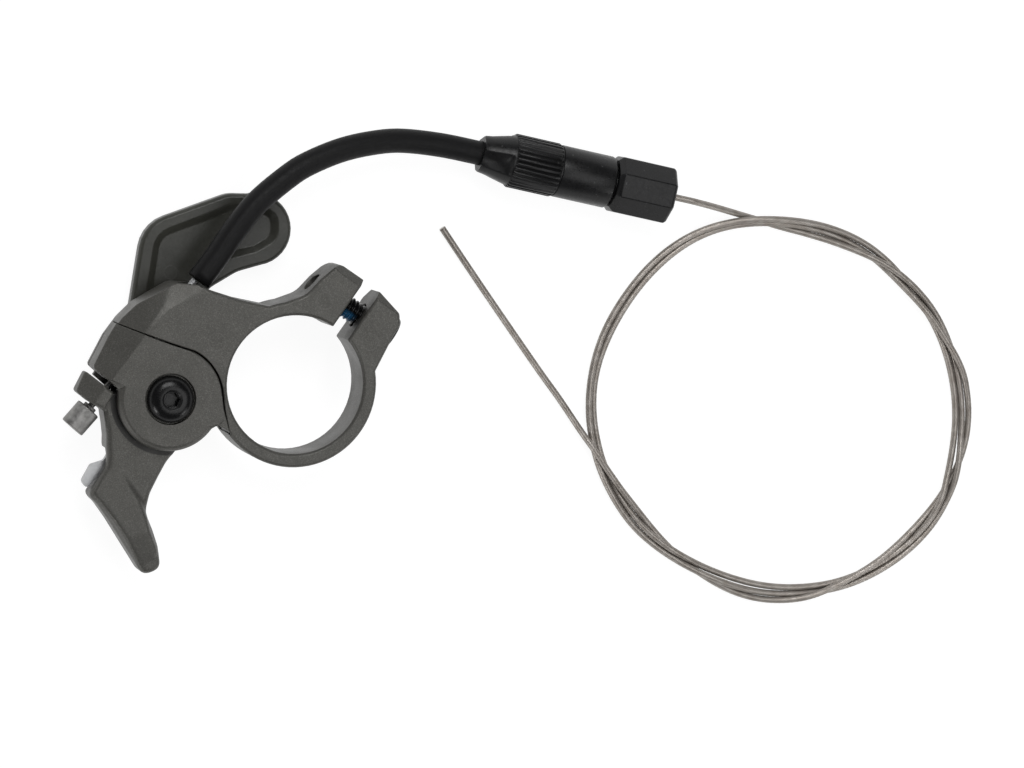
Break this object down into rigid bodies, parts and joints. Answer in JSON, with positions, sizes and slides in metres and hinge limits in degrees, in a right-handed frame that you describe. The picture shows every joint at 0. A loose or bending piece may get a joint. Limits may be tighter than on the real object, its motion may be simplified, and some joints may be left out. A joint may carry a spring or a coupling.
{
  "type": "fork lockout lever",
  "caption": "Handlebar-clamped thumb lever with a ratchet housing, a release paddle, an outer casing, an inline barrel adjuster and a coiled inner wire.",
  "frame": {"origin": "where the lever's pivot axis meets the flat rear head of the pivot sleeve, which rests on the table", "axes": "+Z along the pivot axis from the rear head to the front cover, X and Y in the plane of the table, +X towards the handlebar bore and the coil, +Y towards the pad of the release lever"},
  "size_m": [0.1579, 0.0811, 0.0155],
  "materials": {
    "moulded_grey": "dark grey moulding with fine metallic flakes",
    "moulded_black": "satin black",
    "black_oxide": "black oxide, half gloss",
    "zinc_steel": "zinc plated",
    "stranded_steel": "drawn wire"
  },
  "bodies": {
    "housing": {"clamp_body": "moulded_grey", "front_cover": "moulded_grey", "pivot_screw": "black_oxide", "pivot_sleeve": "zinc_steel", "release_washer": "zinc_steel", "lever_washer": "zinc_steel", "pawl_pin": "zinc_steel", "pawl_spring": "zinc_steel", "release_spring": "zinc_steel", "clamp_bolt": "black_oxide", "inner_wire_lead": "stranded_steel", "outer_casing": "moulded_black", "inner_wire_run": "stranded_steel", "inner_wire_coil": "stranded_steel", "inner_wire_tail": "stranded_steel"},
    "lever": {"lock_lever": "moulded_grey", "ratchet_plate": "zinc_steel", "cable_nipple": "stranded_steel", "inner_wire_end": "stranded_steel"},
    "release": {"release_lever": "moulded_black"},
    "pawl": {"pawl": "zinc_steel"},
    "barrel": {"adjuster_barrel": "moulded_black", "adjuster_spring": "zinc_steel"},
    "cap": {"adjuster_cap": "moulded_black", "adjuster_tube": "zinc_steel"}
  },
  "joints": [
    {"name": "lock_turn", "type": "hinge", "parent": "housing", "child": "lever", "pos_m": [0, 0, 0.01], "axis": [0, 0, 1], "range_deg": [0, 35]},
    {"name": "release_press", "type": "hinge", "parent": "housing", "child": "release", "pos_m": [0, 0, 0.0027], "axis": [0, 0, -1], "range_deg": [0, 10], "stiffness_Nm_per_rad": 0.05, "springref_deg": -14.32, "deforming": ["release_spring"]},
    {"name": "pawl_lift", "type": "hinge", "parent": "housing", "child": "pawl", "pos_m": [-0.0006, 0.0102, 0.0082], "axis": [0, 0, -1], "range_deg": [0, 9], "deforming": ["pawl_spring"]},
    {"name": "barrel_turn", "type": "hinge", "parent": "housing", "child": "barrel", "pos_m": [0.0533, 0.03795, 0.0048], "axis": [0.9748, -0.2233, 0], "range_deg": [0, 1800]},
    {"name": "cap_slide", "type": "slide", "parent": "housing", "child": "cap", "axis": [0.9748, -0.2233, 0], "range_m": [0, 0.004], "deforming": ["adjuster_spring"]}
  ],
  "couplings": [
    {"joint": "pawl_lift", "follows": "release_press", "ratio": 0.9},
    {"joint": "barrel_turn", "follows": "cap_slide", "rad_per_m": 7854}
  ]
}
